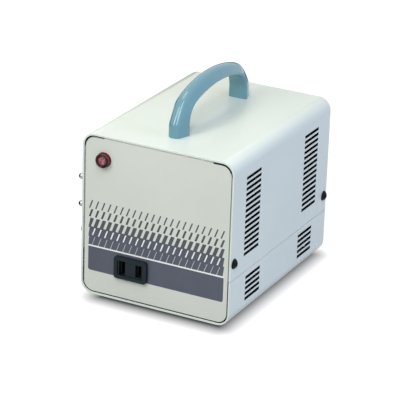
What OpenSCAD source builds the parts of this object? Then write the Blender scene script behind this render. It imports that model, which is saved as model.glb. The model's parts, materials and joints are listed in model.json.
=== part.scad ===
// Mains step-down transformer in a painted sheet-metal case with a carry handle.
// Millimetres. +Z up, front towards -Y, +X to the right seen from the front.
// Origin on the plane the feet stand on, under the middle of the case.

/* [Case] */
// Width of the case
case_w = 114; // [108:1:130]
// Depth of the case, rim to rim
case_d = 150; // [146:1:180]
// Height of the case without feet and handle
case_h = 117; // [112:1:140]
// Thickness of the cover and tray sheet
sheet_t = 1.2; // [1:0.1:1.6]
// Outer radius of the long folded edges
edge_r = 9; // [6:0.5:12]
// Height of the seam between cover and tray above the underside
seam_h = 33; // [30:1:36]
// Width of the open seam
seam_gap = 0.3; // [0.2:0.1:0.8]

/* [Vents] */
// Length of one vent slot
vent_len = 22; // [15:1:24]
// Height of one vent slot
vent_t = 2.2; // [1.5:0.1:2.6]
// Pitch of the vent slots
vent_pitch = 3.9; // [3.6:0.1:4.2]
// Slots in each cover group
upper_rows = 15; // [8:1:15]
// Slots in each tray group
lower_rows = 5; // [2:1:5]
// Distance of the cover groups behind the rims
upper_vent_in = 19; // [17:0.5:24]
// Distance of the tray groups behind the rims
lower_vent_in = 23; // [18:0.5:28]
// Height of the middle slot of the cover groups above the underside
upper_vent_h = 73.5; // [68:0.5:76]
// Height of the middle slot of the tray groups above the underside
lower_vent_h = 20; // [17:0.5:21]

/* [Panels] */
// Thickness of the front and rear panels
panel_t = 1.6; // [1.2:0.1:2]
// Gap between panel edge and sheet
panel_gap = 1; // [0.7:0.1:1.1]
// Setback of the panel face behind the rim
panel_set = 0.5; // [0:0.1:1.5]
// Corner radius of the panels
panel_r = 7; // [5:0.2:12]
// Thickness of the panel flanges
flange_t = 1.4; // [1.3:0.1:1.6]
// Depth of the narrow flanges
flange_d = 5; // [4:0.5:5.5]
// Depth of the flange part that takes the case screws
tab_d = 11; // [10:0.5:13]
// Length of the top and bottom edges left open at each panel corner
corner_open = 16; // [12:1:18]
// Length of the side edges left open below each top corner
side_open = 10; // [9:0.5:14]

/* [Handle] */
// Width of the grip across its flat inner face
grip_w = 14; // [13:0.2:18]
// Thickness of the grip at its feet
grip_foot = 12.4; // [11.6:0.2:16]
// Thickness of the grip at the top
grip_top = 8.2; // [7.8:0.2:12]
// Clear length between the legs
grip_span = 82.5; // [76:0.5:95]
// Clear height under the grip
grip_clear = 25.4; // [24:0.2:34]
// Height of the straight leg
grip_leg = 7.6; // [5:0.2:10]
// Radius of the inner corners
grip_corner = 13.6; // [10:0.2:15]
// Radius of the crown of the grip
grip_crown = 5.2; // [3:0.1:5.6]
// Rounding of the inner edges of the grip
grip_edge = 2; // [0.5:0.1:2.4]
// Offset of the handle from the middle of the depth
grip_y = -0.8; // [-5:0.1:5]

/* [Pilot lamp] */
// Lamp distance from the left side
lamp_in = 16.5; // [13:0.5:23]
// Lamp height above the underside
lamp_h = 100; // [95:0.5:102]
// Bezel diameter
bezel_d = 10.8; // [10.4:0.2:13]
// Bezel thickness
bezel_t = 0.6; // [0.5:0.1:1.2]
// Lens diameter
lens_d = 10; // [9:0.2:10]
// Diameter of the flat at the front of the lens
lens_front_d = 7.4; // [6:0.2:8.4]
// Lens height in front of the bezel
lens_h = 3.4; // [3:0.2:5]
// Height of the round wall of the lens below its facets
lens_wall = 2.2; // [1.6:0.1:2.6]
// Facets around the front of the lens
lens_sides = 10; // [6:1:12]
// Outer diameter of the lamp barrel
barrel_d = 8.2; // [7.8:0.1:8.8]
// Bore of the lamp barrel
barrel_bore = 6.4; // [6.2:0.1:6.6]
// Length of the lamp barrel behind the panel face
barrel_len = 20; // [18:1:22]

/* [Outlet] */
// Outlet distance from the left side
outlet_in = 39; // [33:0.2:77]
// Outlet height above the underside
outlet_h = 25; // [22:0.2:27]
// Outlet face width
outlet_w = 25; // [24:0.5:28]
// Outlet face height
outlet_t = 16; // [15.5:0.5:18]
// Corner radius of the outlet face
outlet_r = 2; // [1:0.2:3]
// How far the outlet stands proud of the panel
outlet_proud = 2.4; // [1.6:0.1:3]
// Border round the sunk face of the outlet
outlet_border = 2.6; // [2:0.1:3]
// Depth of the sunk face
outlet_sunk = 0.8; // [0.4:0.1:1]
// Length of the outlet behind the panel face
outlet_len = 24; // [22:1:26]
// Distance between the two blade slots
blade_pitch = 12.7; // [12.7:0.1:14]
// Width of a blade slot
slot_w = 2.2; // [1.9:0.1:2.4]
// Height of the long blade slot
slot_long = 9; // [8.4:0.1:9.2]
// Height of the short blade slot
slot_short = 7.4; // [7:0.1:8]
// Width of the lead-in round a blade slot
lead_in_w = 4.8; // [3:0.1:5]

/* [Toggle switches] */
// Distance of the switches behind the front rim
switch_in = 10.9; // [10.5:0.1:12]
// Height of the upper switch above the underside
switch_h = 78.3; // [76:0.1:82]
// Distance between the two switches
switch_pitch = 20.2; // [18:0.1:21]
// Lever angle from the middle, each way
throw_deg = 13; // [8:1:13]
// Distance from the lever pivot to the middle of its ball tip
lever_len = 7.3; // [6.5:0.1:9]
// Ball tip diameter of the lever
tip_d = 4.2; // [3:0.1:4.4]
// Bushing diameter
bush_d = 6.2; // [6:0.1:6.6]
// How far the bushing stands out of the wall
bush_out = 3.2; // [3:0.1:3.4]

/* [Transformer] */
// Width of the lamination
core_w = 96; // [88:1:98]
// Height of the lamination
core_h = 80; // [76:1:84]
// Height of the lamination stack along the depth
stack_d = 42; // [36:1:44]
// Width of the middle leg
leg_w = 32; // [28:1:32]
// Window height
window_h = 48; // [46:1:50]
// Distance of the core from the rear rim
core_back = 40; // [38:0.5:42]
// Thickness of each winding
winding_t = 5.5; // [4:0.1:5.6]
// Thickness of each tape layer
tape_t = 0.5; // [0.3:0.1:0.6]

/* [Rear fittings] */
// Fuse holder distance from the right side
fuse_in = 27; // [21:1:37]
// Fuse holder height above the underside
fuse_h = 96; // [94:1:99]
// Fuse cap diameter
fuse_cap_d = 12.5; // [11:0.5:14]
// Fuse cap height
fuse_cap_h = 9; // [7:0.5:12]
// Cord gland distance from the left side
gland_in = 27; // [19:1:33]
// Cord gland height above the underside
gland_h = 28; // [24:1:40]
// Free bore of the cord gland
gland_bore = 8; // [6:0.5:8.5]

/* [Feet and screws] */
// Height of the feet
foot_h = 3; // [3:0.5:6]
// Diameter of the feet
foot_d = 14; // [12:0.5:18]
// Distance of the foot middles from the sides
foot_side = 15; // [14:0.5:18]
// Distance of the foot middles behind the rims
foot_in = 17; // [15.5:0.5:21]
// Head diameter of the case screws
head_d = 7.5; // [7:0.1:8]
// Head height of the case screws
head_h = 2.4; // [1.8:0.1:2.6]
// Case screw distance behind the rims
screw_in = 4.6; // [4.4:0.1:6]
// Case screw height above the underside
screw_h = 45; // [43:0.5:47]
// Thread diameter of the case, handle and core screws
thread_d = 4; // [3.5:0.1:4]

/* [Hidden] */
$fn = 64;
hex_k = 1/cos(30);
// Clearance of pivots, of seated pieces, of moving pieces and of screw holes
run = 0.05;
fit = 0.1;
slip = 0.3;
hole_slack = 0.2;
// Overlap of cuts and of joined shapes
eps = 0.5;
// Thread left past a nut or a tapped flange
thread_out = 1;
tap_out = 2;
z_mid = foot_h + case_h/2;
z_top = foot_h + case_h;
z_in = foot_h + sheet_t;
z_seam = foot_h + seam_h;
y_face = -case_d/2 + panel_set;
y_back = y_face + panel_t;
x_wall = case_w/2 - sheet_t;
clear_d = thread_d + 2*hole_slack;
tap_d = thread_d + fit;
cross_len = 4.2;
cross_w = 1;
cross_t = 1.1;
screw_y = case_d/2 - screw_in;
screw_z = foot_h + screw_h;
tab_over = 6.5;
tab_top = screw_h + tab_over;
flange_step = 0.6;
bottom_step = 1.2;
panel_w = case_w - 2*(sheet_t + panel_gap);
panel_h = case_h - 2*(sheet_t + panel_gap);
bottom_flange_d = 8;
upper_vent_y = case_d/2 - upper_vent_in - vent_len/2;
lower_vent_y = case_d/2 - lower_vent_in - vent_len/2;

arch_a = grip_span/2;
arch_b = grip_clear - grip_leg;
crown_big = (pow(arch_a - grip_corner, 2) + arch_b*arch_b - grip_corner*grip_corner)
    /(2*(arch_b - grip_corner));
crown_phi = asin((arch_a - grip_corner)/(crown_big - grip_corner));
corner_steps = 14;
crown_steps = 16;
round_steps = 4;
arc_steps = 14;
taper_power = 4.5;
grip_bore_v = 5.6;
grip_bore_depth = 14;
handle_screw_len = 12;

lamp_x = -case_w/2 + lamp_in;
lamp_z = foot_h + lamp_h;
spigot_len = 3;
lamp_nut_af = 11;
lamp_nut_t = 2.5;
lamp_end_t = 1.5;
bulb_d = 5;
bulb_len = 12;

outlet_x = -case_w/2 + outlet_in;
outlet_z = foot_h + outlet_h;
shoulder_w = 1.4;
shoulder_h = 1.3;
neck_w = outlet_w - 2*shoulder_w;
neck_h = outlet_t - 2*shoulder_h;
lead_in_t = 2;
lead_over = 0.8;
pocket_w = 5.2;
pocket_h = 10.4;
pocket_in = 3.4;
leaf_t = 0.6;
leaf_gap = 1.4;
leaf_h = 8;
leaf_len = 11;
bridge_t = 0.8;
bridge_in = 19;
lug_w = 6;
lug_len = 8;
catch_out = 1;
catch_len = 6;
catch_w = 6;

switch_y = -case_d/2 + switch_in;
switch_z = foot_h + switch_h;
body_up = 13;
body_wide = 6.8;
body_deep = 10;
pivot_in = 0.5;
pivot_r = 1.45;
pivot_slack = 0.35;
bore_r = pivot_r + pivot_slack;
mouth_r = 2.3;
pin_d = 1;
pin_len = 5.4;
stem_r = 0.9;
stem_tip_r = 1.1;
switch_nut_af = 8;
switch_nut_t = 1.8;
tag_pitch = 4.5;
tag_w = 2;
tag_t = 0.6;
tag_len = 4.5;
pole_count = 3;

core_y = case_d/2 - core_back - stack_d/2;
core_z = z_in;
yoke_h = (core_h - window_h)/2;
window_w = (core_w - leg_w)/4;
bolt_in = 6;
bolt_x = core_w/2 - bolt_in;
bolt_z = [yoke_h/2, core_h - yoke_h/2];
bolt_af = 7;
bolt_head_t = 2.8;
nut_t = 3.2;
bracket_t = 2;
bracket_clear = 2;
bracket_up = yoke_h - bracket_clear;
bracket_foot = 15;
mount_x = 30;
mount_out = 9;
mount_y = stack_d/2 + mount_out;
mount_head_t = 2.2;
bobbin_fit = 0.3;
bobbin_t = 1.4;
bobbin_flange_t = 1.6;
bobbin_play = 0.5;
bobbin_over = 1.8;
tube_w = leg_w + 2*(bobbin_fit + bobbin_t);
tube_d = stack_d + 2*(bobbin_fit + bobbin_t);
bobbin_x = leg_w/2 + window_w - bobbin_fit;
bobbin_y = tube_d/2 + 2*(winding_t + tape_t) + bobbin_over;
bobbin_h = window_h - bobbin_play;
tube_r = 1;
coil_r = 4;
coil_relief = 0.5;
board_w = 60;
board_d = 12;
board_t = 1.6;
board_y = core_y - bobbin_y;
board_z = core_z + yoke_h + bobbin_h;
post_pitch = 10;
post_count = 6;
post_w = 3;
post_t = 0.8;
post_h = 8;
post_y = board_y + board_d/2;
post_face = post_y - post_t/2;
post_z = board_z + board_t + post_h/2;

fuse_x = case_w/2 - fuse_in;
fuse_z = foot_h + fuse_h;
holder_flange_d = 15;
holder_flange_t = 2;
holder_d = 12;
holder_bore = 8.4;
holder_len = 32;
holder_end_t = 2;
fuse_nut_af = 16;
fuse_nut_t = 3;
fuse_d = 5;
fuse_end_d = 5.4;
fuse_end_len = 5;
fuse_len = 20;
cap_slot_w = 1.6;
cap_slot_t = 1.4;
cap_rib_count = 12;
cap_rib_d = 1.6;
fuse_lug_len = 5;
fuse_lug_t = 0.8;
fuse_lug_w = 4;
gland_x = -case_w/2 + gland_in;
gland_z = foot_h + gland_h;
gland_flange_d = 16;
gland_flange_t = 3;
gland_barrel_d = 12;
gland_len = 14;

foot_x = case_w/2 - foot_side;
foot_y = case_d/2 - foot_in;
foot_thread = 3;
foot_bore = foot_thread + 2*hole_slack;
foot_head_d = 5.6;
foot_head_t = 1.3;
foot_sink_d = 7;
foot_sink_t = 1.6;
foot_nut_af = 5.5;
foot_nut_t = 2.4;
wire_d = 2.2;
thin_wire_d = 1.2;
// Size of the rounded bends beside the wire
bend_k = 1.1;
// Spacing of leads side by side, straight start of a lead, drop of the highest lead below the case top
lead_step = 2*wire_d;
lead_start = 3*wire_d;
lead_drop = 9.6;

paint = [0.90, 0.92, 0.89];
panel_paint = [0.82, 0.83, 0.80];
teal = [0.43, 0.62, 0.70];
black = [0.08, 0.09, 0.10];
steel = [0.70, 0.71, 0.72];
brass_c = [0.80, 0.66, 0.32];
copper_c = [0.72, 0.42, 0.22];
iron = [0.34, 0.35, 0.37];
tape_c = [0.86, 0.76, 0.36];
phenolic = [0.45, 0.28, 0.15];

// Node to show

// Shared shapes

module round_rect(w, h, r) {
    square([w - 2*r, h], center = true);
    square([w, h - 2*r], center = true);
    for (sx = [-1, 1], sz = [-1, 1])
        translate([sx*(w/2 - r), sz*(h/2 - r)])
            circle(r);
}

// Flat shape in x and z, made thick along +Y from y0
module yplate(y0, t) {
    translate([0, y0 + t, 0])
        rotate([90, 0, 0])
            linear_extrude(t)
                children();
}

module ycyl(d, h) {
    rotate([-90, 0, 0])
        cylinder(d = d, h = h);
}

module xcyl(d, h) {
    rotate([0, 90, 0])
        cylinder(d = d, h = h, center = true);
}

// Hexagon nut along +Z
module hex_nut(af, t, bore) {
    difference() {
        cylinder(d = af*hex_k, h = t, $fn = 6);
        translate([0, 0, -eps])
            cylinder(d = bore, h = t + 2*eps);
    }
}

// Domed screw along -Z, its head standing on z = 0
module pan_screw(d, t, thread, len, cross) {
    ball = (d*d/4 + t*t)/(2*t);
    difference() {
        intersection() {
            cylinder(d = d, h = t);
            translate([0, 0, t - ball])
                sphere(ball);
        }
        if (cross)
            for (a = [0, 90])
                rotate([0, 0, a])
                    translate([-cross_len/2, -cross_w/2, t - cross_t])
                        cube([cross_len, cross_w, cross_t + eps]);
    }
    translate([0, 0, -len])
        cylinder(d = thread, h = len + t/4);
}

// Insulated wire through a list of points
module lead(points, d) {
    for (i = [0:len(points) - 2]) {
        v = points[i + 1] - points[i];
        translate(points[i])
            rotate([0, acos(v.z/norm(v)), atan2(v.y, v.x)])
                cylinder(d = d, h = norm(v));
    }
    for (i = [1:len(points) - 2])
        translate(points[i])
            sphere(d = bend_k*d);
}

// Case sheets

module case_ring() {
    difference() {
        round_rect(case_w, case_h, edge_r);
        round_rect(case_w - 2*sheet_t, case_h - 2*sheet_t, edge_r - sheet_t);
    }
}

module vent_groups(rows, off, h) {
    for (g = [-1, 1], i = [0:rows - 1])
        translate([0, g*off, foot_h + h + (i - (rows - 1)/2)*vent_pitch])
            cube([2*case_w, vent_len, vent_t], center = true);
}

module upper_cover() color(paint) {
    difference() {
        yplate(-case_d/2, case_d)
            translate([0, z_mid])
                intersection() {
                    case_ring();
                    translate([-case_w, z_seam + seam_gap/2 - z_mid])
                        square([2*case_w, case_h]);
                }
        vent_groups(upper_rows, upper_vent_y, upper_vent_h);
        for (s = [-1, 1])
            translate([0, s*screw_y, screw_z])
                xcyl(clear_d, 2*case_w);
        for (s = [-1, 1])
            translate([0, grip_y + s*(arch_a + grip_bore_v), z_top - sheet_t - eps])
                cylinder(d = clear_d, h = sheet_t + 2*eps);
        for (k = [0, 1])
            on_left_wall(k)
                translate([0, 0, -sheet_t - eps])
                    cylinder(d = bush_d + slip, h = sheet_t + 2*eps);
    }
}

module lower_tray() color(paint) {
    difference() {
        yplate(-case_d/2, case_d)
            translate([0, z_mid])
                intersection() {
                    case_ring();
                    translate([-case_w, z_seam - seam_gap/2 - z_mid - case_h])
                        square([2*case_w, case_h]);
                }
        vent_groups(lower_rows, lower_vent_y, lower_vent_h);
        for (sx = [-1, 1], sy = [-1, 1]) {
            translate([sx*foot_x, sy*foot_y, 0])
                cylinder(d = foot_bore, h = z_in + eps);
            translate([sx*mount_x, core_y + sy*mount_y, 0])
                cylinder(d = clear_d, h = z_in + eps);
        }
    }
}

// Panel with its bent flanges, in the place of the front one
module panel_blank() {
    y_flange = y_face + flange_step;
    yplate(y_face, panel_t)
        translate([0, z_mid])
            round_rect(panel_w, panel_h, panel_r);
    difference() {
        for (s = [-1, 1]) {
            x_flange = s*(x_wall - flange_t/2) - flange_t/2;
            translate([x_flange, y_flange, z_seam])
                cube([flange_t, flange_d, case_h - seam_h - side_open]);
            translate([x_flange, y_flange, z_seam])
                cube([flange_t, tab_d, tab_top - seam_h]);
        }
        translate([0, -screw_y, screw_z])
            xcyl(tap_d, 2*case_w);
    }
    translate([0, y_flange + flange_d/2, z_top - sheet_t - flange_t/2])
        cube([case_w - 2*corner_open, flange_d, flange_t], center = true);
    translate([0, y_face + bottom_step + bottom_flange_d/2, z_in + flange_t/2])
        cube([case_w - 2*corner_open, bottom_flange_d, flange_t], center = true);
}

module front_panel() color(panel_paint) {
    difference() {
        panel_blank();
        translate([lamp_x, y_face - eps, lamp_z])
            ycyl(barrel_d + 2*fit, panel_t + 2*eps);
        translate([outlet_x, y_face + panel_t/2, outlet_z])
            cube([neck_w + 4*fit, panel_t + 2*eps, neck_h + 4*fit], center = true);
        for (k = [0, 1])
            on_left_wall(k)
                translate([-body_up/2 - slip, -body_wide/2 - slip, -sheet_t - body_deep])
                    cube([body_up + 2*slip, body_wide + 2*slip, body_deep + eps]);
    }
}

module rear_panel() color(panel_paint) {
    mirror([0, 1, 0])
        difference() {
            panel_blank();
            translate([fuse_x, y_face - eps, fuse_z])
                ycyl(holder_d + 2*fit, panel_t + 2*eps);
            translate([gland_x, y_face - eps, gland_z])
                ycyl(gland_barrel_d + 2*fit, panel_t + 2*eps);
        }
}

// Carry handle: one section carried round a basket arch

function grip_depth(beta) = grip_top + (grip_foot - grip_top)*pow(abs(beta)/90, taper_power);

function grip_tangent(d) =
    let (h = d - grip_crown - grip_edge)
    acos(grip_crown/norm([grip_w/2, h])) - atan2(h, grip_w/2);

function grip_section(d) =
    let (t = grip_tangent(d), x = grip_w/2 - grip_edge)
    concat(
        [for (k = [0:round_steps]) let (a = 90*k/round_steps)
            [x + grip_edge*sin(a), grip_edge*(1 - cos(a))]],
        [for (k = [0:arc_steps]) let (a = t + (180 - 2*t)*k/arc_steps)
            [grip_crown*cos(a), d - grip_crown + grip_crown*sin(a)]],
        [for (k = [0:round_steps]) let (a = 90 - 90*k/round_steps)
            [-x - grip_edge*sin(a), grip_edge*(1 - cos(a))]]);

function corner_angle(k) = crown_phi + (90 - crown_phi)*k/corner_steps;

function corner_station(b, s) =
    [s*(arch_a - grip_corner + grip_corner*sin(b)), grip_leg + grip_corner*cos(b), s*b];

arch_stations = concat(
    [[-arch_a, 0, -90]],
    [for (k = [corner_steps:-1:1]) corner_station(corner_angle(k), -1)],
    [for (k = [0:crown_steps]) let (b = crown_phi*(2*k/crown_steps - 1))
        [crown_big*sin(b), grip_clear - crown_big*(1 - cos(b)), b]],
    [for (k = [1:corner_steps]) corner_station(corner_angle(k), 1)],
    [[arch_a, 0, 90]]);

module grip_body() {
    rings = len(arch_stations);
    per = len(grip_section(grip_top));
    points = [for (s = arch_stations, q = grip_section(grip_depth(s.z)))
        [q.x, s.x + q.y*sin(s.z), s.y + q.y*cos(s.z)]];
    sides = [for (i = [0:rings - 2], j = [0:per - 1])
        [i*per + j, (i + 1)*per + j, (i + 1)*per + (j + 1)%per, i*per + (j + 1)%per]];
    start = [for (j = [0:per - 1]) j];
    stop = [for (j = [0:per - 1]) rings*per - 1 - j];
    polyhedron(points, concat(sides, [start, stop]), convexity = 6);
}

module handle() color(teal) {
    translate([0, grip_y, z_top])
        difference() {
            grip_body();
            for (s = [-1, 1])
                translate([0, s*(arch_a + grip_bore_v), -eps])
                    cylinder(d = tap_d, h = grip_bore_depth + eps);
        }
}

module handle_screws() color(steel) {
    for (s = [-1, 1])
        translate([0, grip_y + s*(arch_a + grip_bore_v), z_top - sheet_t])
            rotate([180, 0, 0])
                pan_screw(head_d, head_h, thread_d, handle_screw_len + sheet_t, false);
}

module cover_screws() color(black) {
    for (sx = [-1, 1], sy = [-1, 1])
        translate([sx*case_w/2, sy*screw_y, screw_z])
            rotate([0, sx*90, 0])
                pan_screw(head_d, head_h, thread_d, sheet_t + flange_t + tap_out, true);
}

// Feet

module feet() color(black) {
    for (sx = [-1, 1], sy = [-1, 1])
        translate([sx*foot_x, sy*foot_y, 0])
            difference() {
                cylinder(d = foot_d, h = foot_h);
                translate([0, 0, -eps])
                    cylinder(d = foot_bore, h = foot_h + 2*eps);
                translate([0, 0, -eps])
                    cylinder(d = foot_sink_d, h = foot_sink_t + eps);
            }
}

module foot_screws() color(steel) {
    for (sx = [-1, 1], sy = [-1, 1])
        translate([sx*foot_x, sy*foot_y, foot_sink_t])
            rotate([180, 0, 0])
                pan_screw(foot_head_d, foot_head_t, foot_thread,
                    z_in + foot_nut_t - foot_sink_t + thread_out, false);
}

module foot_nuts() color(steel) {
    for (sx = [-1, 1], sy = [-1, 1])
        translate([sx*foot_x, sy*foot_y, z_in])
            hex_nut(foot_nut_af, foot_nut_t, foot_thread + fit);
}

// Pilot lamp

module lamp_bezel() color(black) {
    translate([lamp_x, y_face, lamp_z])
        difference() {
            union() {
                translate([0, -bezel_t, 0])
                    ycyl(bezel_d, bezel_t);
                translate([0, -bezel_t/2, 0])
                    ycyl(barrel_d, barrel_len + bezel_t/2);
            }
            translate([0, -bezel_t - eps, 0])
                ycyl(barrel_bore, barrel_len + bezel_t - lamp_end_t + eps);
            for (s = [-1, 1])
                translate([s*bulb_d/4, barrel_len - lamp_end_t - eps, 0])
                    ycyl(thin_wire_d + 2*fit, lamp_end_t + 2*eps);
        }
}

module lamp_lens() color([0.60, 0.08, 0.12]) {
    translate([lamp_x, y_face - bezel_t, lamp_z]) {
        rotate([90, 0, 0]) {
            cylinder(d = lens_d, h = lens_wall);
            translate([0, 0, lens_wall])
                cylinder(d1 = lens_d - 2*fit, d2 = lens_front_d, h = lens_h - lens_wall, $fn = lens_sides);
        }
        translate([0, -eps, 0])
            ycyl(barrel_bore - 2*fit, spigot_len + eps);
    }
}

module lamp_nut() color(steel) {
    translate([lamp_x, y_back, lamp_z])
        rotate([-90, 0, 0])
            hex_nut(lamp_nut_af, lamp_nut_t, barrel_d + fit);
}

module neon_bulb() color([0.85, 0.75, 0.70]) {
    translate([lamp_x, y_face + barrel_len - lamp_end_t, lamp_z])
        rotate([90, 0, 0]) {
            cylinder(d = bulb_d, h = bulb_len - bulb_d/2);
            translate([0, 0, bulb_len - bulb_d/2])
                sphere(d = bulb_d);
        }
}

// Outlet

module outlet_body() color(black) {
    translate([outlet_x, y_face, outlet_z])
        difference() {
            union() {
                yplate(-outlet_proud, outlet_proud)
                    round_rect(outlet_w, outlet_t, outlet_r);
                translate([-neck_w/2, -eps, -neck_h/2])
                    cube([neck_w, outlet_len + eps, neck_h]);
                for (s = [-1, 1])
                    translate([0, 0, -catch_w/2])
                        linear_extrude(catch_w)
                            polygon([[s*neck_w/2 - s*fit, panel_t],
                                [s*(neck_w/2 + catch_out), panel_t],
                                [s*neck_w/2 - s*fit, panel_t + catch_len]]);
            }
            yplate(-outlet_proud - eps, outlet_sunk + eps)
                round_rect(outlet_w - 2*outlet_border, outlet_t - 2*outlet_border, outlet_r/2);
            for (s = [-1, 1]) {
                h = s < 0 ? slot_long : slot_short;
                translate([s*blade_pitch/2, 0, 0]) {
                    translate([-slot_w/2, -outlet_proud - eps, -h/2])
                        cube([slot_w, outlet_proud + pocket_in + 2*eps, h]);
                    translate([-lead_in_w/2, -outlet_proud, -h/2 - lead_over])
                        cube([lead_in_w, outlet_sunk + lead_in_t, h + 2*lead_over]);
                    translate([-pocket_w/2, pocket_in, -pocket_h/2])
                        cube([pocket_w, outlet_len, pocket_h]);
                }
            }
        }
}

module outlet_contacts() color(brass_c) {
    for (s = [-1, 1])
        translate([outlet_x + s*blade_pitch/2, y_face + bridge_in, outlet_z]) {
            translate([-pocket_w/2, 0, -leaf_h/2])
                cube([pocket_w, bridge_t, leaf_h]);
            for (k = [-1, 1])
                translate([k*(leaf_gap + leaf_t)/2 - leaf_t/2, -leaf_len, -leaf_h/2])
                    cube([leaf_t, leaf_len + bridge_t/2, leaf_h]);
            translate([-bridge_t/2, bridge_t/2, -lug_w/2])
                cube([bridge_t, lug_len, lug_w]);
        }
}

// Toggle switches: local +Z points out of the left wall, local +X is up

module on_left_wall(k) {
    translate([-case_w/2, switch_y, switch_z - k*switch_pitch])
        rotate([0, -90, 0])
            children();
}

module switch_body() {
    difference() {
        union() {
            translate([-body_up/2, -body_wide/2, -sheet_t - body_deep])
                cube([body_up, body_wide, body_deep]);
            translate([0, 0, -sheet_t - eps])
                cylinder(d = bush_d, h = sheet_t + bush_out + eps);
        }
        translate([0, 0, -pivot_in - pivot_r - 2*slip])
            cylinder(r = bore_r, h = pivot_r + 2*slip + 2*pivot_in);
        translate([0, 0, pivot_in - fit])
            cylinder(r1 = bore_r, r2 = mouth_r, h = bush_out - pivot_in + fit);
        translate([0, 0, bush_out - fit])
            cylinder(r = mouth_r, h = eps);
        pivot_bore(bush_d + 2*eps);
    }
}

// Cut for the pin that a lever turns on
module pivot_bore(len) {
    translate([0, -len/2, -pivot_in])
        ycyl(pin_d + 2*run, len);
}

module lever() {
    difference() {
        translate([0, 0, -pivot_in])
            rotate([0, throw_deg, 0]) {
                sphere(pivot_r);
                cylinder(r1 = stem_r, r2 = stem_tip_r, h = lever_len);
                translate([0, 0, lever_len])
                    sphere(d = tip_d);
            }
        pivot_bore(2*pivot_r + 2*eps);
    }
}

module power_switch() color(black)
    on_left_wall(0)
        switch_body();

module selector_switch() color(black)
    on_left_wall(1)
        switch_body();

module power_lever() color(steel)
    on_left_wall(0)
        lever();

module selector_lever() color(steel)
    on_left_wall(1)
        lever();

module lever_pins() color(steel) {
    for (k = [0, 1])
        on_left_wall(k)
            translate([0, -pin_len/2, -pivot_in])
                ycyl(pin_d, pin_len);
}

module switch_nuts() color(steel) {
    for (k = [0, 1])
        on_left_wall(k)
            hex_nut(switch_nut_af, switch_nut_t, bush_d + fit);
}

module switch_tags() color(brass_c) {
    for (k = [0, 1], p = [0:pole_count - 1])
        on_left_wall(k)
            translate([(p - 1)*tag_pitch - tag_t/2, -tag_w/2, -sheet_t - body_deep - tag_len])
                cube([tag_t, tag_w, tag_len]);
}

// Transformer

module core() color(iron) {
    difference() {
        yplate(core_y - stack_d/2, stack_d)
            difference() {
                translate([-core_w/2, core_z])
                    square([core_w, core_h]);
                for (s = [-1, 1])
                    translate([s*(leg_w + window_w)/2 - window_w/2, core_z + yoke_h])
                        square([window_w, window_h]);
            }
        for (s = [-1, 1], z = bolt_z)
            translate([s*bolt_x, core_y - stack_d/2 - eps, core_z + z])
                ycyl(clear_d, stack_d + 2*eps);
    }
}

module core_brackets() color(steel) {
    for (s = [-1, 1])
        translate([0, core_y, core_z])
            mirror([0, s > 0 ? 1 : 0, 0])
                difference() {
                    union() {
                        translate([-core_w/2, -stack_d/2 - bracket_t, 0])
                            cube([core_w, bracket_t, bracket_up]);
                        translate([-core_w/2, -stack_d/2 - bracket_foot, 0])
                            cube([core_w, bracket_foot, bracket_t]);
                    }
                    for (k = [-1, 1]) {
                        translate([k*bolt_x, -stack_d/2 - bracket_t - eps, bolt_z[0]])
                            ycyl(clear_d, bracket_t + 2*eps);
                        translate([k*mount_x, -mount_y, -eps])
                            cylinder(d = clear_d, h = bracket_t + 2*eps);
                    }
                }
}

module core_bolts() color(steel) {
    for (s = [-1, 1], i = [0, 1]) {
        out = stack_d/2 + (i == 0 ? bracket_t : 0);
        translate([s*bolt_x, core_y - out, core_z + bolt_z[i]]) {
            rotate([90, 0, 0])
                cylinder(d = bolt_af*hex_k, h = bolt_head_t, $fn = 6);
            translate([0, -bolt_head_t/2, 0])
                ycyl(thread_d, 2*out + bolt_head_t/2 + nut_t + thread_out);
        }
    }
}

module core_nuts() color(steel) {
    for (s = [-1, 1], i = [0, 1])
        translate([s*bolt_x, core_y + stack_d/2 + (i == 0 ? bracket_t : 0), core_z + bolt_z[i]])
            rotate([-90, 0, 0])
                hex_nut(bolt_af, nut_t, tap_d);
}

module mount_screws() color(steel) {
    for (sx = [-1, 1], sy = [-1, 1])
        translate([sx*mount_x, core_y + sy*mount_y, foot_h])
            rotate([180, 0, 0])
                pan_screw(head_d, mount_head_t, thread_d, sheet_t + bracket_t + nut_t + thread_out, false);
}

module mount_nuts() color(steel) {
    for (sx = [-1, 1], sy = [-1, 1])
        translate([sx*mount_x, core_y + sy*mount_y, z_in + bracket_t])
            hex_nut(bolt_af, nut_t, tap_d);
}

module bobbin() color([0.88, 0.86, 0.80]) {
    translate([0, core_y, core_z + yoke_h])
        difference() {
            union() {
                linear_extrude(bobbin_h)
                    round_rect(tube_w, tube_d, tube_r);
                for (z = [0, bobbin_h - bobbin_flange_t])
                    translate([-bobbin_x, -bobbin_y, z])
                        cube([2*bobbin_x, 2*bobbin_y, bobbin_flange_t]);
            }
            translate([-leg_w/2 - bobbin_fit, -stack_d/2 - bobbin_fit, -eps])
                cube([leg_w + 2*bobbin_fit, stack_d + 2*bobbin_fit, bobbin_h + 2*eps]);
        }
}

// One layer wound round the bobbin: grow is how far its inside lies outside the tube
module coil_layer(grow, t) {
    h = bobbin_h - 2*bobbin_flange_t;
    translate([0, core_y, core_z + yoke_h + bobbin_flange_t])
        linear_extrude(h)
            difference() {
                round_rect(tube_w + 2*(grow + t), tube_d + 2*(grow + t), coil_r);
                round_rect(tube_w + 2*grow, tube_d + 2*grow, (grow > 0 ? coil_r : tube_r) - coil_relief);
            }
}

module primary_winding() color(copper_c)
    coil_layer(0, winding_t);

module layer_tape() color(tape_c)
    coil_layer(winding_t, tape_t);

module secondary_winding() color(copper_c)
    coil_layer(winding_t + tape_t, winding_t);

module outer_tape() color(tape_c)
    coil_layer(2*winding_t + tape_t, tape_t);

module terminal_board() color(phenolic) {
    translate([-board_w/2, board_y, board_z])
        cube([board_w, board_d, board_t]);
}

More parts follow.
